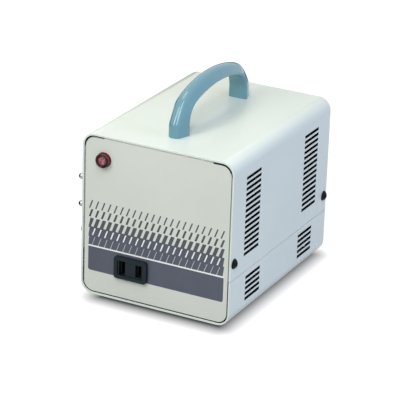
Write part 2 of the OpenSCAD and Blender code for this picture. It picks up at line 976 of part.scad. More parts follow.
function post_x(i) = (i - (post_count - 1)/2)*post_pitch;

module terminal_posts() color(brass_c) {
    for (i = [0:post_count - 1])
        translate([post_x(i), post_y, post_z])
            cube([post_w, post_t, post_h], center = true);
}

// Fuse and cord gland on the rear panel: local +Y points out of the panel

module on_rear(x, z) {
    translate([x, -y_face, z])
        children();
}

module fuse_holder() color(black) {
    on_rear(fuse_x, fuse_z)
        difference() {
            union() {
                ycyl(holder_flange_d, holder_flange_t);
                translate([0, -holder_len, 0])
                    ycyl(holder_d, holder_len + holder_flange_t/2);
            }
            translate([0, -holder_len + holder_end_t, 0])
                ycyl(holder_bore, holder_len + holder_flange_t);
        }
}

module fuse_nut() color(black) {
    on_rear(fuse_x, fuse_z)
        translate([0, -panel_t, 0])
            rotate([90, 0, 0])
                hex_nut(fuse_nut_af, fuse_nut_t, holder_d + fit);
}

module fuse_lug() color(brass_c) {
    on_rear(fuse_x, fuse_z)
        translate([-fuse_lug_t/2, -holder_len - fuse_lug_len, -fuse_lug_w/2])
            cube([fuse_lug_t, fuse_lug_len, fuse_lug_w]);
}

module fuse_glass() color([0.80, 0.86, 0.88]) {
    on_rear(fuse_x, fuse_z)
        translate([0, -holder_len + holder_end_t + fuse_end_len, 0])
            ycyl(fuse_d, fuse_len - 2*fuse_end_len);
}

module fuse_ends() color(steel) {
    on_rear(fuse_x, fuse_z)
        for (k = [0, fuse_len - fuse_end_len])
            translate([0, -holder_len + holder_end_t + k, 0])
                ycyl(fuse_end_d, fuse_end_len);
}

module fuse_cap() color(black) {
    on_rear(fuse_x, fuse_z)
        translate([0, holder_flange_t + slip, 0])
            difference() {
                union() {
                    ycyl(fuse_cap_d, fuse_cap_h);
                    for (i = [0:cap_rib_count - 1])
                        rotate([0, i*360/cap_rib_count, 0])
                            translate([fuse_cap_d/2 - cap_rib_d/4, 0, 0])
                                ycyl(cap_rib_d, fuse_cap_h - cap_slot_t);
                    translate([0, fuse_len - holder_len - holder_flange_t + holder_end_t, 0])
                        ycyl(holder_bore - 2*slip, holder_len + holder_flange_t - fuse_len);
                }
                translate([-fuse_cap_d, fuse_cap_h - cap_slot_t, -cap_slot_w/2])
                    cube([2*fuse_cap_d, cap_slot_t + eps, cap_slot_w]);
            }
}

module cord_gland() color(black) {
    on_rear(gland_x, gland_z)
        difference() {
            union() {
                ycyl(gland_flange_d, gland_flange_t);
                translate([0, -gland_len, 0])
                    ycyl(gland_barrel_d, gland_len + gland_flange_t/2);
            }
            translate([0, -gland_len - eps, 0])
                ycyl(gland_bore, gland_len + gland_flange_t + 2*eps);
        }
}

module gland_nut() color(black) {
    on_rear(gland_x, gland_z)
        translate([0, -panel_t, 0])
            rotate([90, 0, 0])
                hex_nut(fuse_nut_af, fuse_nut_t, gland_barrel_d + fit);
}

// Leads

module output_leads() color([0.75, 0.72, 0.66]) {
    y_lug = y_face + bridge_in + bridge_t/2 + lug_len;
    y_drop = (y_lug + board_y)/2;
    for (i = [0, 1]) {
        x_lug = outlet_x + (2*i - 1)*blade_pitch/2;
        lead([[post_x(i), post_face, post_z], [post_x(i), y_drop, post_z],
            [x_lug, y_drop, outlet_z], [x_lug, y_lug, outlet_z]], wire_d);
    }
}

module lamp_leads() color([0.70, 0.30, 0.28]) {
    y_end = y_face + barrel_len - lamp_end_t;
    for (i = [0, 1]) {
        x_end = lamp_x + (2*i - 1)*bulb_d/4;
        y_run = post_face - (1 + i)*lead_step;
        lead([[x_end, y_end, lamp_z], [x_end, y_run, lamp_z],
            [post_x(2 + i), y_run, post_z], [post_x(2 + i), post_face, post_z]], thin_wire_d);
    }
}

module switch_leads() color([0.30, 0.34, 0.55]) {
    x_tag = -x_wall + body_deep + tag_len;
    x_near = x_tag + wire_d;
    x_run = x_tag + lead_start;
    y_run = y_face + outlet_len + wire_d;
    z_high = z_top - lead_drop;
    z_low = switch_z - switch_pitch;
    y_lug = -y_face - holder_len - fuse_lug_len;
    lead([[x_tag, switch_y, switch_z], [x_run, switch_y, switch_z], [x_run, y_run, z_high],
        [fuse_x, core_y, z_high], [fuse_x, y_lug - lead_step, fuse_z], [fuse_x, y_lug, fuse_z]], wire_d);
    lead([[x_tag, switch_y, switch_z - tag_pitch], [x_near, switch_y, switch_z - tag_pitch],
        [x_near, switch_y, z_low + tag_pitch], [x_tag, switch_y, z_low + tag_pitch]], wire_d);
    for (i = [0, 1]) {
        z_tag = z_low - i*tag_pitch;
        y_side = y_run + i*lead_step;
        z_side = post_z - i*lead_step;
        x_post = post_x(4 + i);
        lead([[x_tag, switch_y, z_tag], [x_run, switch_y, z_tag], [x_run, y_side, z_side],
            [x_post, y_side, z_side], [x_post, post_face - lead_step, post_z],
            [x_post, post_face, post_z]], wire_d);
    }
}

upper_cover();
lower_tray();
front_panel();
rear_panel();
handle();
handle_screws();
cover_screws();
feet();
foot_screws();
foot_nuts();
lamp_bezel();
lamp_lens();
lamp_nut();
neon_bulb();
outlet_body();
outlet_contacts();
power_switch();
power_lever();
selector_switch();
selector_lever();
lever_pins();
switch_nuts();
switch_tags();
core();
core_brackets();
core_bolts();
core_nuts();
mount_screws();
mount_nuts();
bobbin();
primary_winding();
layer_tape();
secondary_winding();
outer_tape();
terminal_board();
terminal_posts();
fuse_holder();
fuse_nut();
fuse_lug();
fuse_cap();
fuse_glass();
fuse_ends();
cord_gland();
gland_nut();
output_leads();
lamp_leads();
switch_leads();
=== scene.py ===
import json
import math

import bmesh
import bpy
from mathutils import Matrix, Vector


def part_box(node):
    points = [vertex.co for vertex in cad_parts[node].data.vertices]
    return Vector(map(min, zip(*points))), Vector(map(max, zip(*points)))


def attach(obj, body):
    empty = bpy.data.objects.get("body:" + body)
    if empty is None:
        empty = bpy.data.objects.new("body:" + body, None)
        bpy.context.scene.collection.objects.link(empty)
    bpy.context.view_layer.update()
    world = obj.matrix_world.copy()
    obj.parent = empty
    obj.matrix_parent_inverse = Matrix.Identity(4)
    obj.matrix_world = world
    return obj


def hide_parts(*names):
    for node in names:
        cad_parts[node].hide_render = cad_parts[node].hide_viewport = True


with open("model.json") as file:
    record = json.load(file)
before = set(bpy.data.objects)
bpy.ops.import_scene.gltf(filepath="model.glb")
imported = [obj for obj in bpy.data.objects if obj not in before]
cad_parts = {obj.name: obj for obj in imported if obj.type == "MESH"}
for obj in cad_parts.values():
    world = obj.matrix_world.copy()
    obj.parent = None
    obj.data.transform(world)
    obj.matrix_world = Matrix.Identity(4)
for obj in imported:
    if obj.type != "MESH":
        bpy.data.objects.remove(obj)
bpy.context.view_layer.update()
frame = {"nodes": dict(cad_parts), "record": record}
nodes = frame["nodes"]

MM = 0.001
BODY = "case"

# Camera at the photograph's viewpoint, its angles in degrees
IMAGE_PX = 400
FOCAL_PX = 2313.2
SENSOR_MM = 36.0
CAMERA_PLACE = (0.6689, -1.3305, 0.6673)
CAMERA_YAW = 26.88
CAMERA_PITCH = 22.30
CAMERA_ROLL = 1.99
CAMERA_REACH = 10.0

# Lowest and highest corners of the nodes that finishes and print take their places from
tray_low, tray_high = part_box("lower_tray")
cover_low, cover_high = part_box("upper_cover")
panel_low, panel_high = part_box("front_panel")
outlet_low, outlet_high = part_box("outlet_body")

# Half size past any part of the object, in metres
WIDE = 1.0
# Where the case's paint colour gives way to painted shade inside it: each pair is the stretch over which it
# fades
CASE_MIDDLE = (tray_low + Vector((tray_high.x, tray_high.y, cover_high.z))) / 2
SEAM_Z = (tray_high.z + cover_low.z) / 2
# A face keeps its paint colour, rather than painted shade, if its plane lies this far out from the middle of
# the case
UNSHADED_OUT = (48 * MM, 53 * MM)
# The paint colour reaches a little way in from the rims, over the seam's edges and round the panels' edges;
# painted shade lies beyond it
RIM_UNSHADED = (tray_high.y - 1.4 * MM, tray_high.y - 0.6 * MM)
SEAM_UNSHADED = (0.4 * MM, 0.6 * MM)
PANEL_FACE = -panel_low.y
PANEL_UNSHADED = (PANEL_FACE - 1.0 * MM, PANEL_FACE - 0.8 * MM)
# Painted shade in the outlet's slots begins a little behind its front
OUTLET_DARK = (outlet_low.y + 1.3 * MM, outlet_low.y + 1.6 * MM)
# Outline of a panel's face, a step inside its flanges
PANEL_R = 7 * MM
PANEL_STEP = 1 * MM
PANEL_MIDDLE = (panel_low + panel_high) / 2
PANEL_HALF = (panel_high - panel_low) / 2 - Vector((PANEL_STEP, 0, PANEL_STEP))
# Shade is painted over part of the paint colour on the panels' upright edges and on the flanges beside them
UPRIGHT_SHADED = (PANEL_HALF.x - 0.15 * MM, PANEL_HALF.x - 0.05 * MM)
UPRIGHT_UNSHADED_SHARE = 0.52
# Shade is painted in a band at the upper corners, where no flange backs the gap round a panel
CORNER_ACROSS = (tray_high.x - 16.5 * MM, tray_high.x - 15.5 * MM)
CORNER_UP = (cover_high.z - 9.0 * MM, cover_high.z - 6.5 * MM)
CORNER_SHADED = (PANEL_R - 0.6 * MM, PANEL_R - 0.5 * MM)
# Share of that painted shade at the left corner, where less of it is painted, and the stretch over which it
# changes
CORNER_LEFT = 0.45
CORNER_SIDES = (-10 * MM, 10 * MM)

# Rounding of the visible edges of the CAD nodes, in millimetres
EDGE_MM = {
    "upper_cover": 0.45, "lower_tray": 0.45, "front_panel": 0.25, "rear_panel": 0.25, "outlet_body": 0.3,
    "lamp_bezel": 0.25, "cover_screws": 0.15, "feet": 0.4, "fuse_holder": 0.3, "fuse_cap": 0.2,
    "cord_gland": 0.4, "switch_nuts": 0.15, "power_switch": 0.15, "selector_switch": 0.15,
    "mount_screws": 0.15, "foot_screws": 0.1, "core_brackets": 0.2, "bobbin": 0.3,
}
EDGE_SEGMENTS = 3
# Points closer than WELD and faces flatter than FLAT_ANGLE join first,
# and then edges sharper than EDGE_ANGLE are rounded
EDGE_ANGLE = math.radians(32)
FLAT_ANGLE = math.radians(0.2)
WELD = 1e-6

# Nodes with another finish than their slot's: the lamp's collar is red like its lens,
# and the outlet has painted shade in its slots
OWN_FINISH = {"lamp_bezel": "red_lens", "outlet_body": "outlet_plastic"}

# Handle: the same arch and section as the CAD node, with an eased growth towards the feet
# Clear span, thickness at the top, clear height and straight length of a leg
GRIP_SPAN = 82.5 * MM
GRIP_TOP = 8.2 * MM
GRIP_CLEAR = 25.4 * MM
GRIP_LEG = 7.6 * MM
# Radii of the arch's inner corners, of the section's crown and of its inner edges
GRIP_CORNER = 13.6 * MM
GRIP_CROWN = 5.2 * MM
GRIP_EDGE = 2 * MM
# Powers that set how late the thickness grows and how gently it ends
GRIP_TAPER = 6.0
GRIP_EASE = 1.6
# Steps along the arch and round the section
LEG_STEPS = 6
CORNER_STEPS = 40
CROWN_STEPS = 36
ROUND_STEPS = 6
ARC_STEPS = 28
FLAT_STEPS = 6

# Print on the front: heights above the underside of the case, columns from the left
# Thickness of the ink and half width of the printed field
INK_T = 0.03 * MM
INK_EDGE = 51.8 * MM
# Columns of dashes, and how far a dash leans to the side for its height
DASH_PITCH = 4.77 * MM
DASH_COUNT = 22
DASH_FIRST_X = -49.1 * MM
DASH_SLANT = 0.37
# Top, bottom and inked share of the pitch of each row
DASH_ROWS = (
    (68.8 * MM, 62.9 * MM, 0.215),
    (62.2 * MM, 56.7 * MM, 0.33),
    (55.8 * MM, 49.6 * MM, 0.58),
    (48.7 * MM, 43.3 * MM, 0.79),
    (42.2 * MM, 36.1 * MM, 0.925),
)
# Row with white ink between its dashes
WHITE_ROW = DASH_ROWS[3]
# Height above the floor over which the ink turns grey
INK_TURN = (47 * MM, 60 * MM)
# Top and bottom of the strips that join rows, of the white line and of the solid band
FIELD_STRIPS = ((49.6 * MM, 48.7 * MM), (43.3 * MM, 42.2 * MM))
LINE_Z = (36.1 * MM, 35.0 * MM)
BAND_Z = (35.0 * MM, 17.3 * MM)
# Radius of the band's lower corners, and how far it goes under the rim of the outlet
BAND_R = 1.6 * MM
BAND_UNDER = 1.0 * MM
CORNER_POINTS = 6

# Pilot lens: height and radius of the round wall and rim and of the rings of facets,
# as shares of the CAD lens
LENS_SIDES = 10
LENS_ROUND = 60
LENS_BANDS = ((0.0, 1.0), (0.78, 1.0), (0.92, 0.95), (0.97, 0.86), (0.94, 0.77), (0.74, 0.7))
LENS_GIRDLE = (0.94, 0.54)
LENS_TABLE = (1.0, 0.2)
# Places of its materials: the wall, the rim with painted shade, and the facets with painted light
LENS_WALL, LENS_RIM, LENS_CUT = range(3)

# Floor, card and sky
WHITE = (1.0, 1.0, 1.0, 1.0)
FLOOR_HALF = 3.0
# Floor as it is seen, dark beneath the glow that paints the shadow round the case, and as it throws light
# back on the object
FLOOR_SEEN = (0.12, 0.12, 0.12, 1.0)
FLOOR_BOUNCE = (0.42, 0.42, 0.42, 1.0)
FLOOR_ROUGH = 0.9
FLOOR_GLOSS = 0.1
# The floor's glow turns from a painted shadow to white over this distance from an outline inside the case's
FLOOR_FADE = (0.0, 16 * MM)
FLOOR_SHADE = 0.06
# How far that outline lies inside on each side, and how far it is moved to the right
FOOT_INSET = Vector((11.7 * MM, 4.0 * MM))
FOOT_ASIDE = 2.3 * MM
# Dark card that only reflections see, in an arc round the back: the ends of the arc are in degrees
CARD_RADIUS = 0.22
CARD_HEIGHT = 0.17
CARD_ARC = (95, 235)
CARD_STEPS = 24
CARD_COLOUR = (0.02, 0.02, 0.02, 1.0)
SKY_COLOUR = (0.86, 0.92, 1.0, 1.0)
SKY_LIGHT = 0.34

# Lamps: place, aim, width and height in metres, power in watts, colour
LAMPS = {
    "softbox_key": ((0.22, -0.55, 0.72), (0, 0, 0.08), (0.16, 0.7), 3.2, (0.97, 0.98, 1.0)),
    "softbox_front": ((-0.26, -0.62, 0.60), (0, 0, 0.08), (0.2, 0.5), 2.2, (1.0, 0.98, 0.93)),
    "softbox_top": ((-0.22, 0.05, 1.0), (0, 0, 0.06), (0.5, 0.5), 2.4, (1.0, 0.90, 0.66)),
    "fill_right": ((1.20, 0.10, 0.45), (0, 0, 0.06), (0.8, 0.8), 5.4, (0.52, 0.64, 1.0)),
}
# Lamps that light the paint but aren't mirrored in gloss
MATT_LAMPS = ("fill_right",)


def rgb(r, g, b):
    """Screen colour, 0 to 255, as a linear colour."""
    def linear(v):
        v = v / 255
        return v / 12.92 if v <= 0.04045 else ((v + 0.055) / 1.055) ** 2.4
    return (linear(r), linear(g), linear(b), 1.0)


# Painted shade inside the case and round its panels
PAINTED_SHADE = rgb(22, 31, 36)
# Painted shade in the outlet's slots
SHADE = rgb(6, 7, 8)
GREY_INK = rgb(68, 75, 78)


# Materials

def add(tree, kind, **inputs):
    """New node with constants on its inputs, where an underscore in a name stands for a space."""
    node = tree.nodes.new(kind)
    for name, value in inputs.items():
        node.inputs[name.replace("_", " ")].default_value = value
    return node


def place(tree):
    """The object's own coordinates, which are the part's frame."""
    return tree.nodes.new("ShaderNodeTexCoord").outputs["Object"]


def noise(tree, scale, detail=3.0, rough=0.55, stretch=None):
    """Noise over the object, its scale in waves per metre, stretched along an axis if asked."""
    node = add(tree, "ShaderNodeTexNoise", Scale=scale, Detail=detail, Roughness=rough)
    where = place(tree)
    if stretch:
        mapping = add(tree, "ShaderNodeMapping", Scale=stretch)
        tree.links.new(where, mapping.inputs["Vector"])
        where = mapping.outputs["Vector"]
    tree.links.new(where, node.inputs["Vector"])
    return node.outputs["Fac"]


def feed(tree, socket, value):
    """Sets a socket to a constant or links it to an output."""
    if isinstance(value, bpy.types.NodeSocket):
        tree.links.new(value, socket)
    else:
        socket.default_value = value


def mix_colour(tree, factor, first, second):
    """Mix of two colours: inputs 6 and 7 and output 2 of the node are its colour sockets."""
    node = tree.nodes.new("ShaderNodeMix")
    node.data_type = "RGBA"
    tree.links.new(factor, node.inputs["Factor"])
    feed(tree, node.inputs[6], first)
    feed(tree, node.inputs[7], second)
    return node.outputs[2]


def spread(tree, factor, low, high, start=0.3, stop=0.7):
    """Maps a factor from start and stop, by default the bulk of a noise, to low and high."""
    node = add(tree, "ShaderNodeMapRange", From_Min=start, From_Max=stop, To_Min=low, To_Max=high)
    tree.links.new(factor, node.inputs["Value"])
    return node.outputs["Result"]


def bump(tree, shader, height, strength, depth):
    """Fine relief on a shader."""
    node = add(tree, "ShaderNodeBump", Strength=strength, Distance=depth)
    tree.links.new(height, node.inputs["Height"])
    tree.links.new(node.outputs["Normal"], shader.inputs["Normal"])


def math_node(tree, operation, first, second=None):
    """Result of an operation on one or two constants or outputs."""
    node = tree.nodes.new("ShaderNodeMath")
    node.operation = operation
    feed(tree, node.inputs[0], first)
    if second is not None:
        feed(tree, node.inputs[1], second)
    return node.outputs[0]


def axis_of(tree, axis):
    """One of the object's coordinates."""
    split = tree.nodes.new("ShaderNodeSeparateXYZ")
    tree.links.new(place(tree), split.inputs[0])
    return split.outputs[axis]


def from_middle(tree, axis, middle):
    """Distance from a plane across the given axis."""
    return math_node(tree, "ABSOLUTE", math_node(tree, "SUBTRACT", axis_of(tree, axis), middle))


def faces_out(tree):
    """1 on faces that look away from the middle of the case, 0 on inner faces and the walls of slots."""
    where = tree.nodes.new("ShaderNodeTexCoord")
    offset = tree.nodes.new("ShaderNodeVectorMath")
    offset.operation = "SUBTRACT"
    offset.inputs[1].default_value = CASE_MIDDLE
    tree.links.new(where.outputs["Object"], offset.inputs[0])
    facing = tree.nodes.new("ShaderNodeVectorMath")
    facing.operation = "DOT_PRODUCT"
    tree.links.new(offset.outputs["Vector"], facing.inputs[0])
    tree.links.new(where.outputs["Normal"], facing.inputs[1])
    return spread(tree, facing.outputs["Value"], 0.0, 1.0, *UNSHADED_OUT)


def open_corner(tree):
    """1 at the two upper corners, where the gap round a panel opens into the case and shade is painted."""
    across = spread(tree, from_middle(tree, "X", CASE_MIDDLE.x), 0.0, 1.0, *CORNER_ACROSS)
    up = spread(tree, axis_of(tree, "Z"), 0.0, 1.0, *CORNER_UP)
    share = spread(tree, axis_of(tree, "X"), CORNER_LEFT, 1.0, *CORNER_SIDES)
    return math_node(tree, "MULTIPLY", math_node(tree, "MULTIPLY", across, up), share)


def case_unshaded(tree):
    """1 where the case sheets keep their paint colour: outer faces, a little way in from the rims, and the
    seam's edges; 0 where shade is painted.
    """
    rims = spread(tree, from_middle(tree, "Y", CASE_MIDDLE.y), 0.0, 1.0, *RIM_UNSHADED)
    rims = math_node(tree, "SUBTRACT", rims, open_corner(tree))
    seam = spread(tree, from_middle(tree, "Z", SEAM_Z), 1.0, 0.0, *SEAM_UNSHADED)
    return math_node(tree, "MAXIMUM", faces_out(tree), math_node(tree, "MAXIMUM", rims, seam))


def outside(tree, middle, half):
    """Distance of a point outside a box given by its middle and half sizes."""
    where = place(tree)
    steps = (("SUBTRACT", middle), ("ABSOLUTE", None), ("SUBTRACT", half), ("MAXIMUM", (0, 0, 0)))
    for operation, other in steps:
        node = tree.nodes.new("ShaderNodeVectorMath")
        node.operation = operation
        tree.links.new(where, node.inputs[0])
        if other is not None:
            node.inputs[1].default_value = other
        where = node.outputs["Vector"]
    length = tree.nodes.new("ShaderNodeVectorMath")
    length.operation = "LENGTH"
    tree.links.new(where, length.inputs[0])
    return length.outputs["Value"]


def panel_unshaded(tree):
    """1 where the front and rear panels keep their paint colour, 0 where shade is painted: at their edges and
    deeper in the case.
    """
    skin = spread(tree, from_middle(tree, "Y", 0.0), 0.0, 1.0, *PANEL_UNSHADED)
    upright = spread(tree, from_middle(tree, "X", PANEL_MIDDLE.x), 1.0, UPRIGHT_UNSHADED_SHARE, *UPRIGHT_SHADED)
    core = (PANEL_HALF.x - PANEL_R, WIDE, PANEL_HALF.z - PANEL_R)
    band = spread(tree, outside(tree, PANEL_MIDDLE, core), 0.0, 1.0, *CORNER_SHADED)
    corner = math_node(tree, "MULTIPLY", open_corner(tree), band)
    return math_node(tree, "SUBTRACT", math_node(tree, "MINIMUM", skin, upright), corner)


def outlet_front(tree):
    """1 on the front of the outlet, 0 in its slots, where shade is painted."""
    return spread(tree, axis_of(tree, "Y"), 1.0, 0.0, *OUTLET_DARK)


def low_print(tree):
    """1 on the solid band and the rows above it, 0 on the thin upper rows."""
    return spread(tree, axis_of(tree, "Z"), 1.0, 0.0, *INK_TURN)


def finish_of(name, tones, rough, tone_scale, grain_scale, grain, depth=0.05 * MM, stretch=None, mask=None,
              under=None, **sockets):
    """A surface whose tone, gloss and fine relief vary a little: tones and rough are the two ends.
    The scales are in waves per metre, and grain and depth are the relief's strength and height.
    Where a mask is given, the colour under it shows through at 0."""
    mat = bpy.data.materials.new(name)
    mat.use_nodes = True
    tree = mat.node_tree
    shader = tree.nodes["Principled BSDF"]
    for socket, value in sockets.items():
        shader.inputs[socket.replace("_", " ")].default_value = value
    tone = spread(tree, noise(tree, tone_scale), 0.0, 1.0)
    colour = mix_colour(tree, tone, *tones)
    if mask:
        colour = mix_colour(tree, mask(tree), under, colour)
    tree.links.new(colour, shader.inputs["Base Color"])
    fine = noise(tree, grain_scale, stretch=stretch)
    tree.links.new(spread(tree, fine, *rough), shader.inputs["Roughness"])
    bump(tree, shader, fine, grain, depth)
    return mat


# Shade is painted on the case's inner faces, the walls of its slots and at its open corners
def case_paint():
    return finish_of("case_enamel", tones=(rgb(224, 233, 225), rgb(229, 237, 229)), rough=(0.30, 0.38),
                     tone_scale=14, grain_scale=1400, grain=0.10,
                     mask=case_unshaded, under=PAINTED_SHADE)


# Shade is painted on the panels' edges, most at the open corners, and deeper in the case
def panel_paint():
    return finish_of("panel_enamel", tones=(rgb(216, 221, 211), rgb(221, 225, 216)), rough=(0.38, 0.46),
                     tone_scale=18, grain_scale=1700, grain=0.10,
                     mask=panel_unshaded, under=PAINTED_SHADE)


def handle_plastic():
    return finish_of("handle_plastic", tones=(rgb(95, 144, 158), rgb(101, 150, 164)), rough=(0.42, 0.50),
                     tone_scale=30, grain_scale=1500, grain=0.07,
                     Specular_IOR_Level=0.2, Coat_Weight=1.0, Coat_Roughness=0.1)


def black_plastic():
    return finish_of("black_plastic", tones=(rgb(18, 28, 35), rgb(24, 35, 43)), rough=(0.26, 0.36),
                     tone_scale=60, grain_scale=1600, grain=0.10,
                     Specular_IOR_Level=0.2)


# The outlet's slots get painted shade behind its front
def outlet_plastic():
    return finish_of("outlet_plastic", tones=(rgb(13, 28, 36), rgb(19, 35, 43)), rough=(0.26, 0.36),
                     tone_scale=60, grain_scale=1600, grain=0.10,
                     mask=outlet_front, under=SHADE, Specular_IOR_Level=0.2)


def black_screw():
    return finish_of("black_oxide", tones=(rgb(9, 15, 20), rgb(17, 24, 30)), rough=(0.28, 0.4),
                     tone_scale=300, grain_scale=2500, grain=0.15,
                     Specular_IOR_Level=0.12)


def rubber():
    return finish_of("foot_rubber", tones=(rgb(24, 24, 24), rgb(34, 34, 33)), rough=(0.7, 0.85),
                     tone_scale=120, grain_scale=2600, grain=0.3)


def plated_steel():
    return finish_of("plated_steel", tones=(rgb(186, 190, 194), rgb(202, 205, 208)), rough=(0.28, 0.42),
                     tone_scale=90, grain_scale=2200, grain=0.12,
                     Metallic=1.0)


def chrome():
    return finish_of("bright_chrome", tones=(rgb(158, 159, 162), rgb(172, 173, 176)), rough=(0.06, 0.12),
                     tone_scale=200, grain_scale=1500, grain=0.03,
                     Metallic=1.0, Specular_Tint=(0.2, 0.2, 0.21, 1.0))


def brass():
    return finish_of("brass", tones=(rgb(196, 160, 84), rgb(212, 178, 100)), rough=(0.25, 0.4),
                     tone_scale=150, grain_scale=2000, grain=0.1,
                     Metallic=1.0)


def core_iron():
    """Laminations on edge: fine lines across the stack, which is built up along Y."""
    return finish_of("laminations", tones=(rgb(52, 52, 56), rgb(70, 69, 70)), rough=(0.45, 0.62),
                     tone_scale=40, grain_scale=90, grain=0.5,
                     depth=0.2 * MM, stretch=(0.1, 22.0, 0.1), Metallic=0.5)


def copper_wire():
    """Turns of enamelled wire, one above the other."""
    return finish_of("enamelled_copper", tones=(rgb(150, 78, 38), rgb(176, 96, 48)), rough=(0.25, 0.4),
                     tone_scale=60, grain_scale=80, grain=0.6,
                     depth=0.3 * MM, stretch=(0.1, 0.1, 14.0), Metallic=0.6)


def coil_tape():
    return finish_of("coil_tape", tones=(rgb(204, 174, 70), rgb(216, 188, 84)), rough=(0.25, 0.4),
                     tone_scale=50, grain_scale=240, grain=0.3)


def bobbin_plastic():
    return finish_of("bobbin_plastic", tones=(rgb(222, 216, 200), rgb(230, 225, 210)), rough=(0.4, 0.5),
                     tone_scale=40, grain_scale=1500, grain=0.1)


def phenolic():
    return finish_of("phenolic_board", tones=(rgb(96, 58, 30), rgb(122, 76, 42)), rough=(0.4, 0.55),
                     tone_scale=260, grain_scale=900, grain=0.2)


def wire_skin():
    return finish_of("wire_skin", tones=(rgb(120, 122, 130), rgb(136, 138, 146)), rough=(0.4, 0.5),
                     tone_scale=100, grain_scale=1200, grain=0.1)


def bulb_glass():
    return finish_of("bulb_glass", tones=(rgb(240, 236, 230), rgb(246, 244, 240)), rough=(0.02, 0.06),
                     tone_scale=100, grain_scale=800, grain=0.02,
                     Transmission_Weight=0.95, IOR=1.5)


def red_lens():
    return finish_of("red_lens", tones=(rgb(84, 12, 26), rgb(128, 24, 44)), rough=(0.08, 0.16),
                     tone_scale=420, grain_scale=900, grain=0.04,
                     Transmission_Weight=0.15, IOR=1.49, Coat_Weight=0.3, Coat_Roughness=0.08)


# Facets a lighter pink than the wall: painted light through the lens, with a random tone
def lens_lit_facets():
    return finish_of("lens_lit_facets", tones=(rgb(104, 22, 40), rgb(196, 112, 130)), rough=(0.06, 0.14),
                     tone_scale=700, grain_scale=900, grain=0.04,
                     Coat_Weight=0.3, Coat_Roughness=0.08)


# Dark rim: painted shade on the lens's front edge
def lens_shaded_rim():
    return finish_of("lens_shaded_rim", tones=(rgb(20, 8, 8), rgb(48, 12, 16)), rough=(0.15, 0.25),
                     tone_scale=420, grain_scale=900, grain=0.04,
                     Specular_IOR_Level=0.25)


def dark_ink():
    return finish_of("dark_ink", tones=(rgb(76, 82, 96), rgb(81, 87, 101)), rough=(0.42, 0.52),
                     tone_scale=60, grain_scale=2600, grain=0.10,
                     mask=low_print, under=GREY_INK)


def white_ink():
    return finish_of("white_ink", tones=(rgb(246, 248, 248), rgb(251, 252, 252)), rough=(0.42, 0.52),
                     tone_scale=60, grain_scale=2600, grain=0.10)


# Finish of each material slot, and of the outlet
FINISHES = {
    "case_paint": case_paint, "panel_paint": panel_paint, "handle_plastic": handle_plastic,
    "black_screw": black_screw, "rubber": rubber, "black_plastic": black_plastic, "red_lens": red_lens,
    "bulb_glass": bulb_glass, "plated_steel": plated_steel, "chrome": chrome, "brass": brass,
    "core_iron": core_iron, "bobbin_plastic": bobbin_plastic, "copper_wire": copper_wire,
    "coil_tape": coil_tape, "phenolic": phenolic, "wire_skin": wire_skin, "outlet_plastic": outlet_plastic,
}


# Pieces

def piece(name, mesh, material, body=BODY):
    """New object that rides on a body."""
    obj = bpy.data.objects.new(name, mesh)
    bpy.context.scene.collection.objects.link(obj)
    mesh.materials.append(material)
    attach(obj, body)
    return obj


def round_edges(obj, width):
    """Small rounded edges on a CAD node, without a change to its mesh."""
    weld = obj.modifiers.new("weld", "WELD")
    weld.merge_threshold = WELD
    flat = obj.modifiers.new("flat", "DECIMATE")
    flat.decimate_type = "DISSOLVE"
    flat.angle_limit = FLAT_ANGLE
    bevel = obj.modifiers.new("bevel", "BEVEL")
    bevel.width = width
    bevel.segments = EDGE_SEGMENTS
    bevel.limit_method = "ANGLE"
    bevel.angle_limit = EDGE_ANGLE
    bevel.harden_normals = True


def dress_nodes(finishes):
    """Gives each CAD node its finish and, where it shows, rounded edges."""
    for part in frame["record"]["subparts"]:
        obj = nodes[part["node"]]
        for material_slot in obj.material_slots:
            material_slot.material = finishes[OWN_FINISH.get(part["node"], part["material_slot"])]
        if part["node"] in EDGE_MM:
            round_edges(obj, EDGE_MM[part["node"]] * MM)


def grip_section(depth, width):
    """Half-round section: flat inner face, tapered flanks and a round crown, as (across, outwards) points."""
    half = width / 2
    rise = depth - GRIP_CROWN - GRIP_EDGE
    lean = math.acos(GRIP_CROWN / math.hypot(half, rise)) - math.atan2(rise, half)
    side = []
    for k in range(ROUND_STEPS + 1):
        a = math.pi / 2 * k / ROUND_STEPS
        side.append((half - GRIP_EDGE + GRIP_EDGE * math.sin(a), GRIP_EDGE * (1 - math.cos(a))))
    foot = side[-1]
    top = (GRIP_CROWN * math.cos(lean), depth - GRIP_CROWN + GRIP_CROWN * math.sin(lean))
    flank = [tuple(f + (t - f) * k / FLAT_STEPS for f, t in zip(foot, top)) for k in range(1, FLAT_STEPS)]
    arc = []
    for k in range(ARC_STEPS + 1):
        a = lean + (math.pi - 2 * lean) * k / ARC_STEPS
        arc.append((GRIP_CROWN * math.cos(a), depth - GRIP_CROWN + GRIP_CROWN * math.sin(a)))
    right = side + flank
    left = [(-x, v) for x, v in reversed(right)]
    return right + arc + left


def grip_stations():
    """Places along the arch as (along, up, angle), from one foot to the other."""
    reach, rise = GRIP_SPAN / 2, GRIP_CLEAR - GRIP_LEG
    flat = reach - GRIP_CORNER
    big = (flat ** 2 + rise ** 2 - GRIP_CORNER ** 2) / (2 * (rise - GRIP_CORNER))
    phi = math.asin(flat / (big - GRIP_CORNER))
    half = []
    for k in range(CROWN_STEPS // 2 + 1):
        b = phi * 2 * k / CROWN_STEPS
        half.append((big * math.sin(b), GRIP_CLEAR - big * (1 - math.cos(b)), b))
    for k in range(1, CORNER_STEPS + 1):
        b = phi + (math.pi / 2 - phi) * k / CORNER_STEPS
        half.append((flat + GRIP_CORNER * math.sin(b), GRIP_LEG + GRIP_CORNER * math.cos(b), b))
    for k in range(1, LEG_STEPS + 1):
        half.append((reach, GRIP_LEG * (1 - k / LEG_STEPS), math.pi / 2))
    return [(-y, z, -b) for y, z, b in reversed(half[1:])] + half


